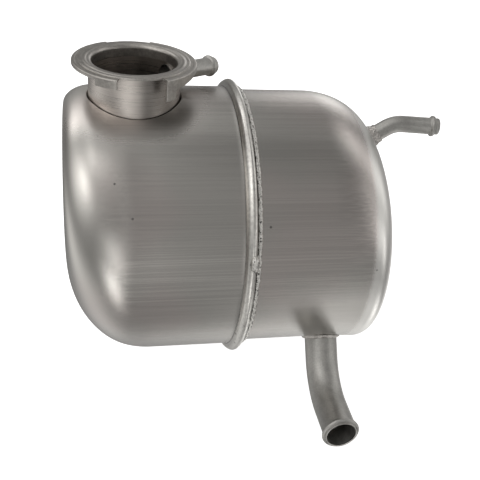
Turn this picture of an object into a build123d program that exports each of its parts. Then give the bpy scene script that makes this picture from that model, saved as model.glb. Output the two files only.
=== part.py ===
from build123d import *
from math import cos, radians, sin, sqrt
import os

os.makedirs("parts", exist_ok=True)

# Origin on the tank axis at the seam, X to the vent end, Z up the filler neck, Y to the back, in mm.

# Tank body, drawn from one gauge of sheet. A corner is (run along X, drop towards the axis).
wall = 1.5
tank_radius = 75.0
front_reach = 91.5
front_crown = (16.0, 9.8)
front_belly = (45.0, 59.5)
front_side = (17.5, 34.5)
rear_reach = 81.0
rear_crown = (37.6, 27.8)
rear_belly = (7.0, 5.0)
rear_side = (7.0, 16.2)
slip_gap = 0.05
spigot_depth = 8.0
corner_stations = 7

# Seam: a hollow bead rolled into the mouth of the front shell, welded along its lip.
seam_proud = 4.3
seam_round = 3.8
seam_weld_round = 2.8

# Filler neck, standing in a round pocket pressed into the crown of the front shell.
neck_end_gap = 13.3
neck_radius = 23.8
neck_wall = 1.0
neck_foot = 3.2
rim_rise = 19.0
pocket_gap = 1.5
pocket_sink = 0.4
pocket_lip = 2.5
pocket_lip_stand = 0.3
braze_leg = 1.2
braze_gap = 0.05

# Bayonet rim for the pressure cap. Angles run round the neck from the X axis.
plate = 1.2
sealing_land = 4.7
lobe_reach = 3.5
lobe_step = 0.5
lobe_start = -109.0
lobe_span = 135.0
skirt_wall = 1.2
skirt_shallow = 1.7
skirt_deep = 7.3
entry_span = 60.0
catch_span = 21.0
catch_depth = 4.7
stop_span = 10.0
stop_depth = 11.0
rim_lip_wall = 0.8
rim_lip_depth = 6.0
rim_round = 0.7
mouth_round = 1.8
lobes = 2

# Pressure seat, a pressed ring in the foot of the neck that the cap's valve closes on.
seat_width = 5.25
seat_rise = 1.8
seat_flange = 4.0
seat_gauge = 0.9
seat_bead = 0.8

# Overflow pipe in the side of the neck, falling a little on its way out.
overflow_drop = 10.7
overflow_angle = 36.0
overflow_fall = 3.5
overflow_length = 34.2
small_radius = 4.78
small_wall = 0.9

# Vent pipe low on the shoulder of the rear shell, vent_turn degrees round the corner from its top.
vent_turn = 79.8
vent_rise = 33.6
vent_swing = 9.0
vent_lead = 11.2
vent_bend = 17.0
vent_tail = 20.7

# Outlet pipe, radial at first and then turned level to the front.
outlet_inset = 25.6
outlet_angle = 37.5
outlet_radius = 9.525
outlet_wall = 1.25
outlet_lead = 14.0
outlet_bend = 34.5
outlet_tail = 21.0

# Pipe ends and roots.
stub = 3.0
lip = 3.6
outlet_lip = 2.6
bead_rise = 1.2
bead_round = 1.8
end_round = 0.4
weld_round = 2.0
boss_height = 6.0
boss_flare = 2.8


def pulled_in(x, reach, corner):
    """How far a pressed corner has drawn in from the cylinder at distance x along a cup."""
    run, drop = corner
    past = max(0.0, x - (reach - run)) / run
    return drop * (1 - sqrt(max(0.0, 1 - past**2)))


def cup(way, mouth, inset, reach, radius, crown, belly, side):
    """A cup along X whose crown, belly and sides have corners of their own, inset for its cavity."""
    reach, radius = reach - inset, radius - inset
    crown = tuple(size - inset for size in crown)
    belly = tuple(size - inset for size in belly)
    side = tuple(size - inset for size in side)
    longest = max(crown[0], belly[0], side[0])
    with BuildPart() as form:
        with BuildSketch(Plane.YZ.offset(-way * mouth)):
            Circle(radius)
        extrude(amount=way * (reach - longest + mouth))
        for step in range(corner_stations + 1):
            x = reach - longest + longest * sin(radians(90 * step / corner_stations))
            top = radius - pulled_in(x, reach, crown)
            bottom = pulled_in(x, reach, belly) - radius
            half_width = radius - pulled_in(x, reach, side)
            with BuildSketch(Plane.YZ.offset(way * x)):
                with Locations((0, (top + bottom) / 2)):
                    Ellipse(half_width, (top - bottom) / 2)
        loft()
    return form.part


def front_cup(mouth, inset):
    return cup(-1, mouth, inset, front_reach, tank_radius, front_crown, front_belly, front_side)


def rear_cup(mouth, inset):
    return cup(1, mouth, inset, rear_reach, rear_radius, rear_crown, rear_belly, rear_side)


def neck_pocket(inset):
    """The round pocket that the neck stands in, grown by inset for the cavity side."""
    floor = pocket_floor - inset
    side = neck_radius + pocket_gap + inset
    turn = pocket_lip - inset
    crest = tank_radius + pocket_lip_stand - inset
    with BuildPart() as pocket:
        with BuildSketch(neck_section):
            with BuildLine():
                Polyline((side, crest - turn), (side, floor), (0, floor), (0, 2 * crest))
                Polyline((0, 2 * crest), (side + turn, 2 * crest), (side + turn, crest))
                RadiusArc((side, crest - turn), (side + turn, crest), turn)
            make_face()
        revolve(axis=neck_axis)
    return pocket.part


def bent_route(root, lead_way, lead, bend_radius, tail_way, tail):
    """Centreline of a pipe: straight along lead_way, one bend, straight along tail_way."""
    turn = lead_way.get_angle(tail_way)
    with BuildLine(Plane(root, lead_way, lead_way.cross(tail_way))) as route:
        Line((0, 0), (lead, 0))
        bend = CenterArc((lead, bend_radius), bend_radius, -90, turn)
        Line(bend @ 1, bend @ 1 + tail_way * tail)
    return route.wire()


def pipe(route, outer, gauge, lip_length):
    """A pipe swept along route, a hose bead rolled lip_length behind its open end."""
    tip, way = route @ 1, route % 1
    section = Plane(tip, way, Plane(tip, z_dir=way).x_dir)
    with BuildPart() as body:
        with BuildSketch(Plane(route @ 0, z_dir=route % 0)):
            Circle(outer)
            Circle(outer - gauge, mode=Mode.SUBTRACT)
        sweep(path=route)
        with BuildSketch(section):
            with Locations((-lip_length, outer + bead_rise - bead_round)):
                Circle(bead_round)
            with Locations((-lip_length, outer - gauge / 2)):
                trim = 3 * bead_round
                Rectangle(trim, trim, align=(Align.CENTER, Align.MIN), mode=Mode.INTERSECT)
        revolve(axis=Axis(tip, way))
        fillet(edges().sort_by(Axis(tip, way))[-2:], end_round)
    return body.part


def root_hole(root, way, radius):
    """The round hole that a pipe needs through the wall at its root."""
    with BuildPart() as hole:
        with BuildSketch(Plane(root, z_dir=way)):
            Circle(radius)
        extrude(amount=3 * stub, both=True)
    return hole.part


def sector(start, span, outer, inner):
    """A ring sector round the neck axis, from start anticlockwise over span."""
    with BuildSketch() as shape:
        with BuildLine():
            out = CenterArc((neck_x, 0), outer, start, span)
            back = CenterArc((neck_x, 0), inner, start, span)
            Line(out @ 0, back @ 0)
            Line(out @ 1, back @ 1)
        make_face()
    return shape.sketch


# Places that follow from the sizes above.
rear_radius = tank_radius - wall - slip_gap
neck_x = neck_radius + neck_end_gap - front_reach
pocket_floor = sqrt(tank_radius**2 - (neck_radius + pocket_gap) ** 2) - pocket_sink
rim_z = tank_radius + rim_rise
overflow_z = rim_z - overflow_drop
sealing_radius = neck_radius + sealing_land
lobe_radius = sealing_radius + lobe_reach
outlet_x = rear_reach - outlet_inset
neck_axis = Axis((neck_x, 0, 0), (0, 0, 1))
neck_section = Plane(origin=(neck_x, 0, 0), x_dir=(1, 0, 0), z_dir=(0, -1, 0))
neck_bore = neck_radius - neck_wall
seam_centre = tank_radius + seam_proud - seam_round

# Directions in which the pipes leave.
outlet_way = Vector(0, -sin(radians(outlet_angle)), -cos(radians(outlet_angle)))
outlet_root = Vector(outlet_x, 0, 0) + outlet_way * (rear_radius - wall - stub)
front_way = Vector(0, -1, 0)
vent_way = Vector(cos(radians(vent_rise)), 0, sin(radians(vent_rise)))
vent_run, vent_drop = rear_crown
vent_root = Vector(
    rear_reach - vent_run + vent_run * sin(radians(vent_turn)),
    0,
    rear_radius - vent_drop + vent_drop * cos(radians(vent_turn)),
)
vent_start = vent_root - vent_way * (wall + stub)
vent_tail_way = Vector(cos(radians(vent_swing)), -sin(radians(vent_swing)), 0)
overflow_level = Vector(cos(radians(overflow_angle)), sin(radians(overflow_angle)), 0)
overflow_across = overflow_level.cross(Vector(0, 0, 1))
overflow_way = overflow_level.rotate(Axis((0, 0, 0), overflow_across), -overflow_fall)
overflow_start = Vector(neck_x, 0, overflow_z) + overflow_way * (neck_bore - stub / 2)

# Outside form of the rear cup, which also trims what is welded onto it.
with BuildPart() as rear_form:
    add(rear_cup(spigot_depth, 0))

# Space inside the front shell, up into its rolled bead and round the neck pocket.
with BuildPart() as front_core:
    add(front_cup(2 * seam_round, wall))
    bead_hollow = seam_round - wall
    bead_mouth = tank_radius - 2 * wall
    with BuildSketch(Plane.XZ):
        with Locations((0, seam_centre)):
            Circle(bead_hollow)
        with Locations((0, (bead_mouth + seam_centre) / 2)):
            Rectangle(2 * bead_hollow, seam_centre - bead_mouth)
    revolve(axis=Axis.X)
    add(neck_pocket(wall), mode=Mode.SUBTRACT)

# Front shell: deep-drawn cup with a bead rolled into its mouth and a pocket in its crown.
with BuildPart() as front_shell:
    add(front_cup(seam_round, 0))
    with BuildSketch(Plane.XZ):
        with Locations((0, seam_centre)):
            Circle(seam_round)
    revolve(axis=Axis.X)
    add(neck_pocket(0), mode=Mode.SUBTRACT)
    add(front_core.part, mode=Mode.SUBTRACT)
    with BuildSketch(Plane.XY.offset(pocket_floor - 2 * wall)):
        with Locations((neck_x, 0)):
            Circle(neck_radius + braze_gap)
    extrude(amount=4 * wall, mode=Mode.SUBTRACT)

# Rear shell: the matching cup, its spigot pushed into the front shell.
with BuildPart() as rear_shell:
    add(rear_form.part)
    add(rear_cup(2 * spigot_depth, wall), mode=Mode.SUBTRACT)
    add(root_hole(outlet_root, outlet_way, outlet_radius + braze_gap), mode=Mode.SUBTRACT)
    add(root_hole(vent_start, vent_way, small_radius + braze_gap), mode=Mode.SUBTRACT)

# Seam weld, laid in the corner between the front shell's lip and the rear shell.
with BuildPart() as seam_weld:
    with BuildSketch(Plane.XZ):
        with Locations((seam_round + seam_weld_round / 4, rear_radius + seam_weld_round / 4)):
            Circle(seam_weld_round)
        with Locations((seam_round, rear_radius)):
            Rectangle(4 * seam_round, 2 * seam_round, align=(Align.CENTER, Align.MAX), mode=Mode.SUBTRACT)
            Rectangle(4 * seam_round, 2 * seam_round, align=(Align.MAX, Align.MIN), mode=Mode.SUBTRACT)
        with Locations((0, seam_centre)):
            Circle(seam_round, mode=Mode.SUBTRACT)
    revolve(axis=Axis.X)

# Neck barrel: rolled tube through the pocket floor, with a hole for the overflow pipe.
with BuildPart() as neck_barrel:
    with BuildSketch(Plane.XY.offset(pocket_floor - neck_foot)):
        with Locations((neck_x, 0)):
            Circle(neck_radius)
            Circle(neck_bore, mode=Mode.SUBTRACT)
    extrude(amount=rim_z - plate - pocket_floor + neck_foot)
    add(root_hole(overflow_start, overflow_way, small_radius + braze_gap), mode=Mode.SUBTRACT)

# Braze fillet that holds the barrel under the pocket floor.
with BuildPart() as neck_braze:
    braze_top = pocket_floor - wall
    with BuildSketch(neck_section):
        with BuildLine():
            Polyline(
                (neck_radius, braze_top),
                (neck_radius + braze_leg, braze_top),
                (neck_radius, braze_top - braze_leg),
                close=True,
            )
        make_face()
    revolve(axis=neck_axis)

# One lobe of the bayonet rim: plate, level entry, cam ramp, catch tab and stop tab.
with BuildPart() as cam_lobe:
    lobe_top = rim_z - lobe_step
    skirt_top = lobe_top - plate
    ramp_span = lobe_span - entry_span
    ramp_start = lobe_start - entry_span
    ramp_end = lobe_start - lobe_span
    ramp_drop = (skirt_deep - skirt_shallow) / (1 - cos(radians(ramp_span)))
    uphill = Vector(cos(radians(ramp_start)), sin(radians(ramp_start)), 0)
    ramp_plane = Plane(
        origin=(neck_x, 0, lobe_top - skirt_shallow - ramp_drop),
        z_dir=Vector(0, 0, 1) - uphill * ramp_drop / lobe_radius,
    )
    with BuildSketch(Plane.XY.offset(skirt_top)):
        add(sector(ramp_end, ramp_span, lobe_radius, lobe_radius - skirt_wall))
    extrude(amount=-2 * skirt_deep)
    split(bisect_by=ramp_plane, keep=Keep.TOP)
    with BuildSketch(Plane.XY.offset(skirt_top)):
        add(sector(ramp_start, entry_span, lobe_radius, lobe_radius - skirt_wall))
    extrude(amount=plate - skirt_shallow)
    with BuildSketch(Plane.XY.offset(skirt_top)):
        add(sector(ramp_end, lobe_span, lobe_radius, neck_radius))
    extrude(amount=plate)
    top_arcs = faces().sort_by(Axis.Z)[-1].edges().filter_by(GeomType.CIRCLE)
    fillet(top_arcs.sort_by(SortBy.RADIUS)[-1], rim_round)
    with BuildSketch(Plane.XY.offset(skirt_top)):
        add(sector(lobe_start - catch_span, catch_span, lobe_radius, lobe_radius - skirt_wall))
    extrude(amount=plate - catch_depth)
    with BuildSketch(Plane.XY.offset(skirt_top)):
        add(sector(ramp_end, stop_span, lobe_radius, lobe_radius - skirt_wall))
    extrude(amount=plate - stop_depth)

# Cam rim: sealing ring with a lip turned down inside the barrel, and the lobes round it.
with BuildPart() as cam_rim:
    with BuildSketch(neck_section):
        with BuildLine():
            lip_outer = neck_bore - braze_gap
            lip_inner = lip_outer - rim_lip_wall
            Polyline(
                (lip_inner, rim_z),
                (sealing_radius, rim_z),
                (sealing_radius, rim_z - plate),
                (lip_outer, rim_z - plate),
                (lip_outer, rim_z - rim_lip_depth),
                (lip_inner, rim_z - rim_lip_depth),
                close=True,
            )
        make_face()
    revolve(axis=neck_axis)
    with Locations(neck_axis.location):
        with PolarLocations(0, lobes):
            add(cam_lobe.part.moved(neck_axis.location.inverse()))
    fillet(edges().group_by(Axis.Z)[-1].sort_by(SortBy.RADIUS)[:1], mouth_round)

# Pressure seat: flanged ring in the barrel's foot with a raised bead for the valve.
with BuildPart() as pressure_seat:
    seat_outer = neck_bore - braze_gap
    seat_inner = seat_outer - seat_width
    seat_top = pocket_floor + seat_rise
    with BuildSketch(neck_section):
        with BuildLine():
            Polyline(
                (seat_inner, seat_top),
                (seat_outer, seat_top),
                (seat_outer, seat_top - seat_flange),
                (seat_outer - seat_gauge, seat_top - seat_flange),
                (seat_outer - seat_gauge, seat_top - seat_gauge),
                (seat_inner, seat_top - seat_gauge),
                close=True,
            )
        make_face()
        with Locations((seat_inner + 2 * seat_bead, seat_top)):
            Circle(seat_bead)
    revolve(axis=neck_axis)

# Overflow pipe: straight, brazed into the side of the barrel.
with BuildPart() as overflow_tube:
    overflow_root = Vector(neck_x, 0, overflow_z) + overflow_way * neck_radius
    overflow_tip = overflow_root + overflow_way * overflow_length
    add(pipe(Edge.make_line(overflow_start, overflow_tip), small_radius, small_wall, lip))

# Braze fillet round the overflow pipe, trimmed to the barrel.
with BuildPart() as overflow_braze:
    neck_middle = Vector(neck_x, 0, overflow_z)
    braze_plane = Plane(origin=neck_middle, x_dir=overflow_way, z_dir=overflow_across)
    with BuildSketch(braze_plane):
        with BuildLine():
            Polyline(
                (neck_bore, small_radius),
                (neck_radius + braze_leg, small_radius),
                (neck_radius, small_radius + braze_leg),
                (neck_bore, small_radius + braze_leg),
                close=True,
            )
        make_face()
    revolve(axis=Axis(neck_middle, overflow_way))
    with BuildSketch(Plane.XY.offset(overflow_z)):
        with Locations((neck_x, 0)):
            Circle(neck_radius)
    extrude(amount=4 * small_radius, both=True, mode=Mode.SUBTRACT)

# Vent pipe: leaves square to the shoulder and bends level.
with BuildPart() as vent_tube:
    vent_route = bent_route(
        vent_start, vent_way, vent_lead + wall + stub, vent_bend, vent_tail_way, vent_tail
    )
    add(pipe(vent_route, small_radius, small_wall, lip))

# Vent boss: weld metal built up in a flared cone round the pipe's root.
with BuildPart() as vent_boss:
    boss_plane = Plane(origin=vent_root, x_dir=vent_way, z_dir=(0, 1, 0))
    with BuildSketch(boss_plane):
        with BuildLine():
            Polyline(
                (boss_height, small_radius + end_round),
                (boss_height, small_radius),
                (-boss_height, small_radius),
                (-boss_height, small_radius + boss_flare),
                (0, small_radius + boss_flare),
            )
            RadiusArc(
                (boss_height, small_radius + end_round),
                (0, small_radius + boss_flare),
                2 * boss_height,
            )
        make_face()
    revolve(axis=Axis(vent_root, vent_way))
    add(rear_form.part, mode=Mode.SUBTRACT)

# Outlet pipe: leaves radially and bends to point level to the front.
with BuildPart() as outlet_tube:
    outlet_route = bent_route(
        outlet_root, outlet_way, outlet_lead + wall + stub, outlet_bend, front_way, outlet_tail
    )
    add(pipe(outlet_route, outlet_radius, outlet_wall, outlet_lip))

# Outlet weld: a bead round the root of the outlet, trimmed to the rear shell.
with BuildPart() as outlet_weld:
    weld_plane = Plane(origin=(outlet_x, 0, 0), x_dir=outlet_way, z_dir=(1, 0, 0))
    with BuildSketch(weld_plane):
        with Locations((rear_radius - weld_round / 4, outlet_radius)):
            Circle(weld_round)
        Rectangle(3 * rear_radius, 2 * outlet_radius, mode=Mode.SUBTRACT)
    revolve(axis=Axis((outlet_x, 0, 0), outlet_way))
    add(rear_form.part, mode=Mode.SUBTRACT)

pieces = {
    "front_shell": front_shell,
    "rear_shell": rear_shell,
    "seam_weld": seam_weld,
    "neck_barrel": neck_barrel,
    "neck_braze": neck_braze,
    "cam_rim": cam_rim,
    "pressure_seat": pressure_seat,
    "overflow_tube": overflow_tube,
    "overflow_braze": overflow_braze,
    "vent_tube": vent_tube,
    "vent_boss": vent_boss,
    "outlet_tube": outlet_tube,
    "outlet_weld": outlet_weld,
}

for name, piece in pieces.items():
    piece.part.label = name
    export_step(piece.part, f"parts/{name}.step")
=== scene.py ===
from math import cos, pi, radians, sin, sqrt

import bmesh
import bpy
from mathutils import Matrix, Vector


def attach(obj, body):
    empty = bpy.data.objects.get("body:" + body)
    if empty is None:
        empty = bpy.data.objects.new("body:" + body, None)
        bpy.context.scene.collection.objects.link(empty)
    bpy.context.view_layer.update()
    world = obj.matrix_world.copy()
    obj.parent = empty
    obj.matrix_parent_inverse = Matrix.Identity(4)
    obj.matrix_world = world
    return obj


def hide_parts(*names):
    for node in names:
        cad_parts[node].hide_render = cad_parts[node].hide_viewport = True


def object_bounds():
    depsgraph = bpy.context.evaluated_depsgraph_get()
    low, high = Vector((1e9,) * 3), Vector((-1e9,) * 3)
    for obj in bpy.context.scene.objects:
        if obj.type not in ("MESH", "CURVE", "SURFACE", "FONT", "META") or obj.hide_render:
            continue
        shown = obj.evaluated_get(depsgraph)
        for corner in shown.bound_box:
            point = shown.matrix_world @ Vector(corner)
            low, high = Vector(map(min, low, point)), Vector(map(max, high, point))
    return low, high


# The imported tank: thirteen metal pieces that ride on one body, in metres, X to the vent end,
# Z up the filler neck and Y to the back. Nothing on it moves.
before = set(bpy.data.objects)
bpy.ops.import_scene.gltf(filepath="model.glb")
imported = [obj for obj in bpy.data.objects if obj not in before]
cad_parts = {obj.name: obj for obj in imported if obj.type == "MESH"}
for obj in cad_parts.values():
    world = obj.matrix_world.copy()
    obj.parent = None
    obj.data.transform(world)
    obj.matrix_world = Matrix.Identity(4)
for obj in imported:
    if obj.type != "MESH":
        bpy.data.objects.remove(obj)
cad_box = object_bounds()
bpy.ops.object.select_all(action="DESELECT")
scene = bpy.context.scene
scene.view_settings.view_transform = "Standard"
mm = 0.001

# The camera stands in front of the tank, above it and a little to its left, and is held
# with a slight tilt.
bpy.ops.object.camera_add(
    location=(-0.0793, -0.3698, 0.2217),
    rotation=(radians(57.67), radians(-5.09), radians(-10.46)),
)
camera = bpy.context.object
camera.data.lens = 55.33
camera.data.clip_start = 0.01
scene.camera = camera


# Light tent: white cloth all round the tank with soft lamps behind it, which the bare metal
# mirrors. A lamp is the way to it, how narrow its glow is, and its strength. These numbers
# were not chosen by hand: a program fitted them to how bright the real metal looks.
class Signal:
    """A socket that takes part in Python sums: each operator adds its own Math node."""

    def __init__(self, finish, socket):
        self.finish = finish
        self.socket = socket

    def sum(self, operation, *values):
        return self.finish.add("Math", {"operation": operation}, dict(enumerate(values)))

    def __add__(self, other):
        return self.sum("ADD", self, other)

    def __sub__(self, other):
        return self.sum("SUBTRACT", self, other)

    def __rsub__(self, other):
        return self.sum("SUBTRACT", other, self)

    def __mul__(self, other):
        return self.sum("MULTIPLY", self, other)

    __radd__ = __add__
    __rmul__ = __mul__

    def __abs__(self):
        return self.sum("ABSOLUTE", self)

    def exp(self):
        return self.sum("EXPONENT", self)

    def step(self, low, high, start=0.0, end=1.0):
        """A smooth step from start to end while this goes from low to high."""
        values = {"Value": self, "From Min": low, "From Max": high, "To Min": start, "To Max": end}
        return self.finish.add("MapRange", {"interpolation_type": "SMOOTHSTEP"}, values)

    def fade(self, start, end):
        """From start to end where this is a mask that goes from 0 to 1."""
        return self.step(0.0, 1.0, start, end)


class Finish:
    """A node tree filled by add(), for the metal of a piece or for the light round it."""

    def __init__(self, tree):
        self.tree = tree
        tree.nodes.clear()

    def add(self, kind, settings=None, values=None, output=0):
        """A new node of a kind: its settings first, then the values or links of its sockets."""
        node = self.tree.nodes.new("ShaderNode" + kind)
        for name, value in (settings or {}).items():
            setattr(node, name, value)
        for name, value in (values or {}).items():
            self.feed(node.inputs[name], value)
        return Signal(self, node.outputs[output]) if node.outputs else node

    def feed(self, socket, value):
        if isinstance(value, Signal):
            self.tree.links.new(value.socket, socket)
        elif socket.type == "RGBA":
            socket.default_value = (*value, 1)
        else:
            socket.default_value = value

    def vector(self, operation, *values, output=0):
        return self.add("VectorMath", {"operation": operation}, dict(enumerate(values)), output)

    def parts(self, vector):
        """The X, Y and Z of a vector, each on its own."""
        node = self.add("SeparateXYZ", None, {0: vector}).socket.node
        return [Signal(self, socket) for socket in node.outputs]

    def blend(self, amount, first, second):
        """One colour turning into another as amount goes from 0 to 1."""
        return self.add("Mix", {"data_type": "RGBA"}, {0: amount, 6: first, 7: second}, 2)


world = bpy.data.worlds.new("light_tent")
world.use_nodes = True
scene.world = world
tent = Finish(world.node_tree)
way = tent.add("TexCoord")
soft_lights = [
    ((-0.77, -0.29, 0.57), 9, 1.48), ((-0.65, -0.40, 0.65), 60, 1.47),
    ((-0.35, -0.75, -0.56), 90, 2.52), ((-0.34, -0.67, -0.66), 45, 0.65),
    ((-0.70, 0.00, -0.71), 9, 0.56), ((0.94, 0.12, 0.33), 20, 1.26),
    ((0.42, 0.88, 0.21), 45, 1.83), ((-0.23, -0.96, -0.13), 45, 1.47),
    ((0.53, -0.27, -0.80), 45, 2.43), ((-0.23, -0.19, 0.95), 45, 1.41),
    ((0.81, -0.58, 0.05), 45, 2.27), ((-0.57, 0.56, 0.61), 45, 2.07),
    ((0.63, 0.30, 0.72), 45, 1.07), ((0.59, 0.51, -0.62), 20, 1.32),
    ((-0.85, 0.29, -0.43), 20, 0.59), ((-0.50, -0.78, -0.38), 60, 0.31),
    ((0.77, -0.39, 0.50), 60, 0.59), ((0.42, -0.55, -0.73), 60, 0.47),
    ((-0.25, 0.30, -0.92), 20, 0.43), ((0.32, 0.12, -0.94), 30, 0.86),
    ((0.00, -0.30, -0.95), 30, 0.02), ((0.00, -0.70, 0.71), 9, 0.18),
    ((0.20, -0.93, -0.30), 6, 0.19), ((-0.20, 0.50, 0.84), 20, 1.18),
]
glow = 0.232
for light_way, narrow, strength in soft_lights:
    light_way = Vector(light_way).normalized()
    apart = tent.vector("DOT_PRODUCT", way, light_way, output=1) - 1.0
    glow = (apart * narrow).exp() * strength + glow
cloth_white = (1, 0.995, 0.98)
tent_light = tent.add("Background", None, {0: cloth_white, 1: glow})
tent.add("OutputWorld", None, {0: tent_light})


# Floor: one pale sheet right under the tank. It is plain white to the camera, and lets the
# tent light the metal from below.
bpy.ops.mesh.primitive_plane_add(size=8, location=(0, 0, cad_box[0][2] - 0.5 * mm))
floor = bpy.context.object
floor.name = "floor"
floor_material = bpy.data.materials.new("floor_paper")
floor_material.use_nodes = True
paper = Finish(floor_material.node_tree)
diffuse = paper.add("BsdfDiffuse", None, {0: (0.8, 0.8, 0.8)})
shine = paper.add("Emission", None, {0: (1, 1, 1), 1: 0.85})
sheet = paper.add("AddShader", None, {0: diffuse, 1: shine})
clear = paper.add("BsdfTransparent")
shown = paper.add("MixShader", None, {0: paper.add("LightPath"), 1: clear, 2: sheet})
paper.add("OutputMaterial", None, {0: shown})
floor.data.materials.append(floor_material)


# Front and rear shell: two deep-drawn cups of stainless sheet, brushed along the tank. The
# front one ends in the rolled seam bead and is sunk and pierced where the neck stands. The
# rear one is pushed into its mouth, and both carry a few dark specks.
def metal(name):
    """A new bare metal: its material, its node tree, and the piece's own coordinates in it."""
    material = bpy.data.materials.new(name)
    material.use_nodes = True
    finish = Finish(material.node_tree)
    return material, finish, finish.add("TexCoord", None, None, 3)


def show(finish, color, roughness, normal):
    """Ends a metal's node tree in its shader and its output."""
    shader = finish.add("BsdfPrincipled", None, {
        "Base Color": color, "Metallic": 1.0, "Roughness": roughness, "Normal": normal,
    })
    finish.add("OutputMaterial", None, {0: shader})


def noise(finish, place, stretch, detail=2.0):
    """Fractal noise that changes stretch times in a metre along each axis."""
    return finish.add("TexNoise", None, {
        "Vector": finish.vector("MULTIPLY", place, stretch), "Scale": 1.0, "Detail": detail,
    })


def bump(finish, height, depth, normal=None):
    """A normal bent by a height that goes from 0 to 1 over a depth."""
    values = {"Strength": 1.0, "Distance": depth, "Height": height}
    if normal:
        values["Normal"] = normal
    return finish.add("Bump", None, values)


def brushed(finish, place, axis, amount, normal):
    """The normal scattered across an axis, as fine brush lines along that axis scatter it."""
    side = finish.vector("CROSS_PRODUCT", axis, normal)
    grain = finish.add("TexWhiteNoise", {"noise_dimensions": "3D"}, {"Vector": place})
    moved = finish.vector("ADD", place, (1.0, 2.0, 3.0))
    other = finish.add("TexWhiteNoise", {"noise_dimensions": "3D"}, {"Vector": moved})
    tilt = finish.add("VectorMath", {"operation": "SCALE"}, {
        0: side, "Scale": (grain + other - 1.0) * amount,
    })
    return finish.vector("NORMALIZE", finish.vector("ADD", normal, tilt))


def tint(finish, color, amount):
    """A colour made darker or lighter by an amount that changes over the surface."""
    return finish.add("VectorMath", {"operation": "SCALE"}, {0: color, "Scale": amount})


def out_from(finish, place, across, shift=(0, 0, 0)):
    """Distance out from a straight line, along the axes that across keeps."""
    flat = finish.vector("MULTIPLY_ADD", place, across, shift)
    return finish.vector("LENGTH", flat, output=1)


def dress(material, *nodes):
    """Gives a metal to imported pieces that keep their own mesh."""
    for node in nodes:
        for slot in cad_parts[node].material_slots:
            slot.material = material


def ringed(name, count, first, rings, facing=(0, 0, 0)):
    """A skin grown from ring to ring; each ring is its centre and its size along X, Y and Z."""
    centre, size = first
    bpy.ops.mesh.primitive_circle_add(vertices=count, radius=1.0, location=centre, rotation=facing)
    piece = bpy.context.object
    piece.name = name
    bpy.ops.object.mode_set(mode="EDIT")
    bpy.ops.transform.resize(value=size, center_override=centre)
    for next_centre, next_size in rings:
        step = [new - old for new, old in zip(next_centre, centre)]
        bpy.ops.mesh.extrude_region_move(TRANSFORM_OT_translate={"value": step})
        change = [new / old for new, old in zip(next_size, size)]
        bpy.ops.transform.resize(value=change, center_override=next_centre)
        centre, size = next_centre, next_size
    return piece


def close_up():
    """Merges the doubles of the mesh in hand and turns its faces outwards."""
    bpy.ops.mesh.select_all(action="SELECT")
    bpy.ops.mesh.remove_doubles(threshold=0.002 * mm)
    bpy.ops.mesh.normals_make_consistent(inside=False)
    bpy.ops.object.mode_set(mode="OBJECT")


def fill_ring(piece, axis, place):
    """Closes the open ring of the mesh in hand that lies at a place along its own axis."""
    mesh = bmesh.from_edit_mesh(piece.data)
    for vertex in mesh.verts:
        vertex.select_set(abs(vertex.co[axis] - place) < 0.01 * mm)
    mesh.select_flush(True)
    bmesh.update_edit_mesh(piece.data)
    bpy.ops.mesh.edge_face_add()


def pulled_in(x, reach, corner):
    """How far a pressed corner has drawn in from the cylinder at distance x along a cup."""
    run, drop = corner
    past = max(0.0, x - (reach - run)) / run
    return drop * (1 - sqrt(max(0.0, 1 - past**2)))


def cup(name, way, inset, mouth, reach, radius, crown, belly, side):
    """A pressed cup from its mouth rings to its end, closed all round like a solid block.

    Its three corners each have a run along the tank and a drop towards its axis.
    """
    reach, radius = reach - inset, radius - inset
    corners = [tuple(size - inset for size in corner) for corner in (crown, belly, side)]
    longest = max(run for run, drop in corners)
    rings = [((way * x * mm, 0, 0), (1, size * mm, size * mm)) for x, size in mouth]
    straight = reach - longest
    stations = [straight * part / 4 for part in range(1, 4)]
    stations = [x for x in stations if x > mouth[-1][0] + 2]
    stations += [straight + longest * sin(radians(2 * step)) for step in range(46)]
    for x in stations:
        top, bottom, wide = (radius - pulled_in(x, reach, corner) for corner in corners)
        middle = (way * x * mm, 0, (top - bottom) / 2 * mm)
        rings.append((middle, (1, wide * mm, (top + bottom) / 2 * mm)))
    end, (_, wide, tall) = rings[-1]
    rings += [(end, (1, wide * part, tall * part)) for part in (0.97, 0.85, 0.6, 0.3)]
    piece = ringed(name, 144, rings[0], rings[1:], (0, pi / 2, 0))
    bpy.ops.mesh.merge(type="CENTER")
    bpy.ops.object.mode_set(mode="OBJECT")
    bpy.ops.object.transform_apply(location=True, rotation=True, scale=True)
    bpy.ops.object.mode_set(mode="EDIT")
    fill_ring(piece, 0, way * mouth[0][0] * mm)
    close_up()
    return piece


neck_at = -54.4
to_neck = (-neck_at * mm, 0, 0)


def pocket(name, inset):
    """The round pocket that the neck stands in, as the punch that would press it."""
    turn, side, crest, base = 1.8 - inset, 24.4 + inset, 75.3 - inset, 70.204 - inset
    profile = [(side + turn, 100), (side + turn, crest)]
    for step in range(1, 8):
        angle = radians(90 * step / 8)
        profile.append((side + turn - turn * sin(angle), crest - turn + turn * cos(angle)))
    profile += [(side, crest - turn), (side, base)]
    rings = [((neck_at * mm, 0, z * mm), (r * mm, r * mm, 1)) for r, z in profile]
    piece = ringed(name, 96, rings[0], rings[1:])
    bpy.ops.mesh.edge_face_add()
    fill_ring(piece, 2, 0)
    close_up()
    return piece


def cut(piece, tool):
    """Takes a tool's form out of a piece."""
    bpy.ops.object.select_all(action="DESELECT")
    bpy.context.view_layer.objects.active = piece
    cutting = piece.modifiers.new("cut", "BOOLEAN")
    cutting.object = tool
    cutting.solver = "EXACT"
    bpy.ops.object.modifier_apply(modifier=cutting.name)
    bpy.data.objects.remove(tool)


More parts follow.
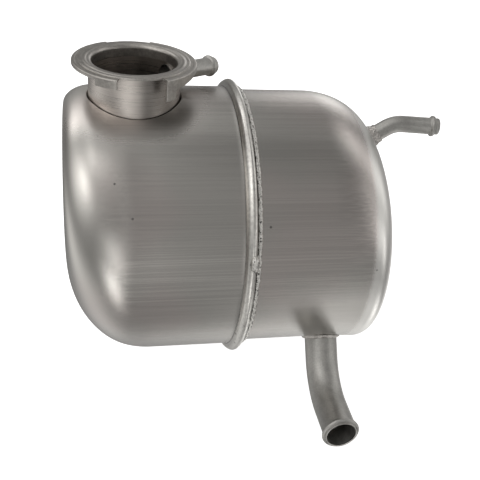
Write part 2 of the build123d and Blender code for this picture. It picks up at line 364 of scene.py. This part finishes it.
def drill(piece, place, way, radius, depth):
    """A round hole through a wall, centred on place and running along way."""
    facing = Vector(way).to_track_quat("Z", "Y").to_euler()
    bpy.ops.mesh.primitive_cylinder_add(
        vertices=96, radius=radius * mm, depth=depth * mm,
        location=Vector(place) * mm, rotation=facing,
    )
    cut(piece, bpy.context.object)


def finished(piece, material, slot, *nodes):
    """Puts a new piece's place into its mesh, and lets it stand for its nodes."""
    bpy.ops.object.select_all(action="DESELECT")
    piece.select_set(True)
    bpy.context.view_layer.objects.active = piece
    bpy.ops.object.transform_apply(location=True, rotation=True, scale=True)
    bpy.ops.object.shade_smooth_by_angle(angle=radians(40))
    piece.data.materials.clear()
    piece.data.materials.append(material)
    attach(piece, "root")
    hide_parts(*nodes)
    piece.select_set(False)


brushed_steel, skin, place = metal("brushed_steel")
x, _, z = skin.parts(place)
front_end, rear_end = x.step(-80 * mm, -60 * mm, 1.0, 0.0), x.step(65 * mm, 69 * mm)
plain = front_end + rear_end
fine_lines = noise(skin, place, (8, 1500, 1500), 3.0)
broad_lines = noise(skin, place, (3, 120, 120))
lines = fine_lines * 0.7 + broad_lines * 0.3
gathered = noise(skin, place, (2, 45, 45)).step(0.38, 0.62, 0.35, 1.0) * (1.0 - plain * 0.8)
# Painted reflection: the rear end's colour is made almost half again lighter, standing in for the
# light band that this end mirrors.
lines_and_end_sheen = (lines.step(0.38, 0.62, -0.08, 0.05) * gathered + 1.0) + rear_end * 0.45

cool_sheet, warm_sheet = (0.470, 0.455, 0.430), (0.500, 0.462, 0.440)
end_sheet, bead_sheet = (0.470, 0.462, 0.445), (0.60, 0.585, 0.555)
clouds = noise(skin, place, (14, 14, 14))
sheet_color = skin.blend(clouds.step(0.40, 0.62), cool_sheet, warm_sheet)
sheet_color = skin.blend(rear_end, sheet_color, end_sheet)
speck = skin.add("TexVoronoi", None, {"Vector": place, "Scale": 52.0}).step(0.024, 0.044)
sheet_color = tint(skin, sheet_color, lines_and_end_sheen * speck.fade(0.45, 1))

from_axis = out_from(skin, place, (0, 1, 1))
bead = from_axis.step(75.15 * mm, 75.7 * mm)
# Painted shade: the sheet is darkened in the crease at the foot of the bead.
foot_shade = from_axis.step(74.6 * mm, 75.1 * mm) * bead.fade(1, 0) * x.step(-4.0 * mm, -3.3 * mm)
grit = noise(skin, place, (700, 700, 700), 3.0)
rough_laid = z.step(-35 * mm, 20 * mm, 1.0, 0.1)
holes = noise(skin, place, (330, 330, 330)).step(0.29, 0.33) * rough_laid + (1.0 - rough_laid)
bead_tone = grit.step(0.32, 0.60, 0.84, 1.04) * holes.fade(0.25, 1)
# Painted shade: the bead's flank that faces the weld is darkened, as shade in the groove between
# them.
bead_color = tint(skin, bead_sheet, bead_tone * x.step(1.9 * mm, 2.4 * mm, 1.0, 0.28))
skin_color = skin.blend(bead, tint(skin, sheet_color, foot_shade.fade(1, 0.62)), bead_color)

from_neck = out_from(skin, place, (1, 1, 0), to_neck)
on_top = z.step(20 * mm, 40 * mm)
dish = from_neck.step(25.5 * mm, 46 * mm) * on_top
near_neck = from_neck.step(27 * mm, 48 * mm, 1.0, 0.0) * on_top
# Painted light: round the neck the sheet is made up to half again lighter on its left side, and
# hardly on its right.
skin_color = tint(skin, skin_color, near_neck * x.step(-66 * mm, -42 * mm, 0.50, 0.04) + 1.0)
dished = bump(skin, dish, 0.18 * mm)
pitted = bump(skin, grit * bead * rough_laid, 0.30 * mm, dished)
scatter = bead.fade(0.22, 0.05) - plain * 0.10
gloss = lines.step(0.3, 0.7, 0.17, 0.23) + bead * 0.11 + front_end * 0.03
gloss = gloss + rear_end * 0.16 + near_neck * 0.16
show(skin, skin_color, gloss, brushed(skin, place, (1, 0, 0), scatter, pitted))

wall = 1.5
front_form = (91.5, 75.0, (16.0, 9.8), (45.0, 59.5), (33.0, 27.0))
bead_mouth = [
    (-2.2, 74.0), (-2.45, 75.0), (-2.45, 76.3), (-2.25, 77.5), (-1.75, 78.5), (-1.0, 79.15),
    (-0.3, 79.3), (0.4, 79.1), (1.1, 78.7), (1.75, 78.2), (2.25, 77.5), (2.65, 76.5),
    (2.9, 75.6), (3.25, 75.1), (3.8, 75.0), (5.5, 75.0),
]
front = cup("front_cup", -1, 0, bead_mouth, *front_form)
cut(front, pocket("pocket_punch", 0))
core = cup("front_core", -1, wall, [(-9.0, 73.5), (4.0, 73.5)], *front_form)
cut(core, pocket("core_punch", wall))
cut(front, core)
drill(front, (neck_at, 0, 70), (0, 0, 1), 23.83, 12)
finished(front, brushed_steel, "tank_skin", "front_shell")

rear_form = (81.0, 73.45, (37.6, 27.8), (8.0, 5.0), (10.0, 13.5))
outlet_root, outlet_way = (55.4, -41.974, -54.702), (0, -0.608761, -0.793353)
vent_way = (0.832921, 0, 0.553392)
rear = cup("rear_cup", 1, 0, [(-8.0, 73.45), (6.0, 73.45)], *rear_form)
cut(rear, cup("rear_core", 1, wall, [(-16.0, 71.95), (6.0, 71.95)], *rear_form))
drill(rear, outlet_root, outlet_way, 9.56, 16)
drill(rear, (78.5, 0, 49.3), vent_way, 4.81, 10)
finished(rear, brushed_steel, "tank_skin", "rear_shell")


# Seam weld: a run of filler laid by hand between the rolled bead and the rear shell, then
# brushed over. It is bright, lumpy and pitted, with one thick lump where the run was closed.
def uneven(piece, size, depth, name):
    """Pushes a piece's surface in and out by up to half of depth, in lumps of a given size."""
    lumps = bpy.data.textures.new(name, "CLOUDS")
    lumps.noise_scale = size * mm
    bpy.context.view_layer.objects.active = piece
    push = piece.modifiers.new(name, "DISPLACE")
    push.texture = lumps
    push.texture_coords = "LOCAL"
    push.strength = depth * mm
    push.mid_level = 0.5
    bpy.ops.object.modifier_apply(modifier=push.name)


def one_skin(piece, grain_size):
    """Grows a single closed skin over all that a piece is made of."""
    over = piece.modifiers.new("one_skin", "REMESH")
    over.voxel_size = grain_size * mm
    bpy.ops.object.modifier_apply(modifier=over.name)


weld_metal, filler, place = metal("weld_metal")
pits = noise(filler, place, (620, 620, 620), 4.0)
ripples = noise(filler, place, (1500, 1500, 1500), 3.0)
along_tank = filler.parts(place)[0]
at_seam = abs(along_tank).step(7 * mm, 8 * mm, 1.0, 0.0)
burnt = 1.0 - pits.step(0.33, 0.44, 0.84, 0.0) * at_seam.fade(0.25, 1.0)
beside = along_tank + (pits - 0.5) * (1.6 * mm)
# Painted shade: the filler is darkened in the grooves along both edges of the run, where it meets
# the bead and the rear shell.
seam_groove_shade = beside.step(2.7 * mm, 3.2 * mm, 0.88, 0.0) + beside.step(4.9 * mm, 5.6 * mm, 0.0, 0.65)
opened = noise(filler, place, (90, 90, 90)).step(0.42, 0.58, 0.25, 1.0)
on_bead = out_from(filler, place, (0, 1, 1)).step(77.4 * mm, 78.4 * mm)
seam_groove_shade = seam_groove_shade * opened * on_bead.fade(1, 0) * at_seam
dull_filler, bright_filler = (0.50, 0.475, 0.45), (0.62, 0.605, 0.575)
filler_color = filler.blend(at_seam, dull_filler, bright_filler)
filler_tone = burnt * ripples.step(0.3, 0.7, 0.80, 1.08) * (1.0 - seam_groove_shade)
filler_normal = bump(filler, ripples, 0.18 * mm, bump(filler, pits, 0.4 * mm))
filler_gloss = ripples.step(0.3, 0.7, 0.26, 0.42)
show(filler, tint(filler, filler_color, filler_tone), filler_gloss, filler_normal)

run_radius, run_x, run_z = 1.4 * mm, 3.9 * mm, 74.7 * mm
bpy.ops.mesh.primitive_circle_add(
    vertices=18, radius=run_radius, location=(run_x, 0, run_z), rotation=(pi / 2, 0, 0)
)
seam_weld = bpy.context.object
seam_weld.name = "seam_weld_run"
bpy.ops.object.mode_set(mode="EDIT")
bpy.ops.mesh.spin(steps=420, angle=2 * pi, center=(0, 0, 0), axis=(1, 0, 0))
close_up()
bpy.ops.mesh.primitive_uv_sphere_add(
    segments=32, ring_count=16, radius=1, location=(1.0 * mm, -75.4 * mm, 16.5 * mm),
    rotation=(radians(12.3), 0, 0), scale=(2.6 * mm, 4.1 * mm, 5.2 * mm),
)
bpy.ops.object.transform_apply(location=True, rotation=True, scale=True)
seam_weld.select_set(True)
bpy.context.view_layer.objects.active = seam_weld
bpy.ops.object.join()
bpy.ops.object.transform_apply(location=True, rotation=True, scale=True)
one_skin(seam_weld, 0.35)
uneven(seam_weld, 3.0, 0.9, "weld_lumps")
uneven(seam_weld, 1.1, 0.5, "weld_ripples")
finished(seam_weld, weld_metal, "weld_metal", "seam_weld")

# Neck barrel and braze: a strip of stainless rolled into a tube and brazed under the pocket
# floor. It is polished round and round, so its highlights run upright.
spun_steel, barrel, place = metal("spun_steel")
turns = noise(barrel, place, (30, 30, 2200), 3.0)
dull = noise(barrel, place, (60, 60, 60))
neck_x = barrel.parts(place)[0]
# Painted light: the inner wall of the neck is made lighter than the outer.
inside = out_from(barrel, place, (1, 1, 0), to_neck).step(23.0 * mm, 23.4 * mm, 1.15, 1.0)
# Painted shade: the right half of the barrel is darkened, a little less near its right edge.
side_shade = neck_x.step(-55 * mm, -49 * mm, 1.0, 0.55) + neck_x.step(-38 * mm, -32 * mm) * 0.2
barrel_tone = turns.step(0.3, 0.7, 0.86, 1.06) * dull.step(0.35, 0.65, 0.92, 1.04)
barrel_color = tint(barrel, (0.55, 0.51, 0.475), barrel_tone * side_shade * inside)
upright = barrel.add("NewGeometry", None, None, 1)
barrel_normal = brushed(barrel, place, (0, 0, 1), 0.22, upright)
show(barrel, barrel_color, turns.step(0.3, 0.7, 0.26, 0.36), barrel_normal)
dress(spun_steel, "neck_barrel", "pressure_seat")
dress(weld_metal, "neck_braze")

# Cam rim: pressed from thicker steel and left matt from the press, with a fine orange-peel
# grain, and its edges made lighter in colour.
pressed_steel, rim, place = metal("pressed_steel")
peel = noise(rim, place, (900, 900, 900), 3.0)
stains = noise(rim, place, (110, 110, 110), 3.0)
sharp = rim.add("NewGeometry", None, None, 1)
eased = rim.add("Bevel", {"samples": 4}, {"Radius": 0.5 * mm})
# The rim's edges are made lighter in colour.
lighter_edges = rim.vector("DOT_PRODUCT", sharp, eased, output=1).step(0.80, 0.99, 1.0, 0.0)
matt_rim, edge_color = (0.40, 0.38, 0.355), (0.60, 0.58, 0.55)
rim_tone = peel.step(0.3, 0.7, 0.85, 1.08) * stains.step(0.35, 0.65, 0.9, 1.05)
rim_color = rim.blend(lighter_edges * 0.85, tint(rim, matt_rim, rim_tone), edge_color)
from_neck = out_from(rim, place, (1, 1, 0), to_neck)
land = from_neck.step(28.0 * mm, 28.5 * mm, 1.0, 0.0)
land = land + from_neck.step(30.0 * mm, 30.5 * mm, 0.0, 0.7)
roll = from_neck.step(24.0 * mm, 25.4 * mm) * from_neck.step(25.4 * mm, 26.8 * mm, 1.0, 0.0)
stepped = bump(rim, land * 0.5 + roll, 0.48 * mm, eased)
show(rim, rim_color, peel.step(0.3, 0.7, 0.34, 0.44), bump(rim, peel, 0.06 * mm, stepped))
dress(pressed_steel, "cam_rim")


# Outlet pipe: stainless tube bent cold, blasted matt, with a hose bead rolled behind its
# mouth. The lip beyond the bead is trimmed short and its edge turned in.
def pipe(name, start, lead_way, lead, bend, tail_way, tail, outer, bore, mouth):
    """A pipe grown ring by ring out to its mouth, over the rim and back down the bore.

    It runs straight for lead, turns with radius bend, and runs straight for tail.
    """
    lead, bend, tail, outer, bore = (size * mm for size in (lead, bend, tail, outer, bore))
    start = Vector([size * mm for size in start])
    lead_way, tail_way = Vector(lead_way), Vector(tail_way)
    turn_axis = lead_way.cross(tail_way).normalized()
    bend_start = start + lead_way * lead
    centre = bend_start + turn_axis.cross(lead_way) * bend
    bend_end = centre - turn_axis.cross(tail_way) * bend if bend else bend_start
    turn = lead_way.angle(tail_way)
    facing = lead_way.to_track_quat("Z", "Y").to_euler()
    bpy.ops.mesh.primitive_circle_add(vertices=72, radius=outer, location=start, rotation=facing)
    piece = bpy.context.object
    piece.name = name
    bpy.ops.object.mode_set(mode="EDIT")

    def grow(step):
        bpy.ops.mesh.extrude_region_move(TRANSFORM_OT_translate={"value": step})

    def sweep(angle):
        if bend:
            bpy.ops.mesh.spin(steps=20, angle=angle, center=centre, axis=turn_axis)

    grow(lead_way * lead)
    sweep(-turn)
    tip = bend_end + tail_way * tail
    place, width = bend_end, outer
    for from_tip, radius in mouth:
        ring, radius = tip - tail_way * (from_tip * mm), radius * mm
        grow(ring - place)
        bpy.ops.transform.resize(value=(radius / width,) * 3, center_override=ring)
        place, width = ring, radius
    grow(bend_end - place)
    bpy.ops.transform.resize(value=(bore / width,) * 3, center_override=bend_end)
    sweep(turn)
    grow(lead_way * -lead)
    close_up()
    return piece


matt_steel, tube, place = metal("matt_steel")
grain = noise(tube, place, (1100, 1100, 1100), 3.0)
mottle = noise(tube, place, (260, 260, 260), 3.0)
tube_x, tube_y, tube_z = tube.parts(place)
from_mouth = tube_y + 101.607 * mm
below = (tube_z - (tube_x - 55.4 * mm) * 0.6).step(-84.5 * mm, -81.0 * mm, 1.0, 0.0)
# Painted shade and highlight: a dark ring is painted in the groove just inside the outlet's mouth
# on its lower side, and the mouth's lip is painted lighter.
mouth_groove_shade = from_mouth.step(0.45 * mm, 0.65 * mm) * from_mouth.step(0.95 * mm, 1.2 * mm, 1.0, 0.0)
mouth_groove_shade = mouth_groove_shade * below
lip_highlight = from_mouth.step(0.3 * mm, 0.55 * mm, 1.25, 1.0)
vent_shade = tube_x.step(78 * mm, 84 * mm, 1.0, 0.84)
tube_tone = grain.step(0.3, 0.7, 0.91, 1.05) * mottle.step(0.35, 0.65, 0.93, 1.04)
tube_tone = tube_tone * mouth_groove_shade.fade(1.0, 0.25) * lip_highlight * vent_shade
tube_color = tint(tube, (0.43, 0.42, 0.40), tube_tone)
show(tube, tube_color, mottle.step(0.35, 0.65, 0.43, 0.50), bump(tube, grain, 0.07 * mm))

outlet_mouth = [
    (4.1, 9.52), (3.7, 9.66), (3.3, 10.1), (2.8, 10.55), (2.2, 10.72), (1.7, 10.64),
    (1.25, 10.25), (1.05, 9.6), (1.0, 9.0), (0.85, 8.85), (0.6, 8.86), (0.3, 8.96),
    (0.08, 8.92), (0.0, 8.75), (0.06, 8.55), (0.4, 8.32), (1.2, 8.275),
]
outlet = pipe(
    "outlet_pipe", outlet_root, outlet_way, 18.5, 34.5, (0, -1, 0), 21, 9.525, 8.275, outlet_mouth
)
finished(outlet, matt_steel, "pipe_metal", "outlet_tube")


# Outlet weld: a thin run laid by hand round the pipe where it leaves the rear shell. It is
# uneven, as it was left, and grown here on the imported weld's own shape.
def weld_copy(node, name, grain_size, lump, lump_depth, ripple, ripple_depth):
    """A weld grown on a node's own shape: one closed skin, then lumps and ripples."""
    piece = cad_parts[node].copy()
    piece.data = piece.data.copy()
    piece.name = name
    bpy.context.collection.objects.link(piece)
    bpy.ops.object.select_all(action="DESELECT")
    piece.select_set(True)
    bpy.context.view_layer.objects.active = piece
    bpy.ops.object.mode_set(mode="EDIT")
    bpy.ops.mesh.select_all(action="SELECT")
    bpy.ops.mesh.remove_doubles(threshold=0.002 * mm)
    bpy.ops.object.mode_set(mode="OBJECT")
    one_skin(piece, grain_size)
    uneven(piece, lump, lump_depth, name + "_lumps")
    uneven(piece, ripple, ripple_depth, name + "_ripples")
    return piece


outlet_weld = weld_copy("outlet_weld", "outlet_weld_run", 0.28, 2.6, 1.0, 0.9, 0.4)
finished(outlet_weld, weld_metal, "weld_metal", "outlet_weld")

# Vent pipe and boss: a small bent tube for the hose to the radiator, welded to the shoulder
# of the rear shell in a built-up, knuckled cone.
hose_mouth = [
    (5.5, 4.78), (5.2, 4.9), (4.9, 5.3), (4.4, 5.8), (3.8, 5.97), (3.2, 5.9), (2.7, 5.6),
    (2.4, 5.15), (2.2, 4.75), (1.9, 4.6), (1.5, 4.7), (1.0, 4.78), (0.5, 4.74),
    (0.15, 4.55), (0.0, 4.3), (0.1, 4.05), (0.6, 3.88),
]
vent = pipe(
    "vent_pipe", (76.658, 0, 48.083), vent_way, 15.7, 17, (0.987688, -0.156434, 0), 20.7,
    4.78, 3.88, hose_mouth,
)
finished(vent, matt_steel, "pipe_metal", "vent_tube")
boss = weld_copy("vent_boss", "vent_boss_weld", 0.28, 2.8, 1.5, 1.0, 0.5)
finished(boss, weld_metal, "weld_metal", "vent_boss")

# Overflow pipe and braze: a short straight tube let into the side of the neck, with a thin
# fillet of braze round its root.
overflow_way = (0.807508, 0.586689, -0.061049)
overflow = pipe(
    "overflow_pipe", (-37.2, 12.497, 82.0), overflow_way, 10, 0, overflow_way, 26.7,
    4.78, 3.88, hose_mouth,
)
finished(overflow, matt_steel, "pipe_metal", "overflow_tube")
overflow_braze = weld_copy("overflow_braze", "overflow_braze_run", 0.25, 1.8, 0.5, 0.8, 0.3)
finished(overflow_braze, weld_metal, "weld_metal", "overflow_braze")
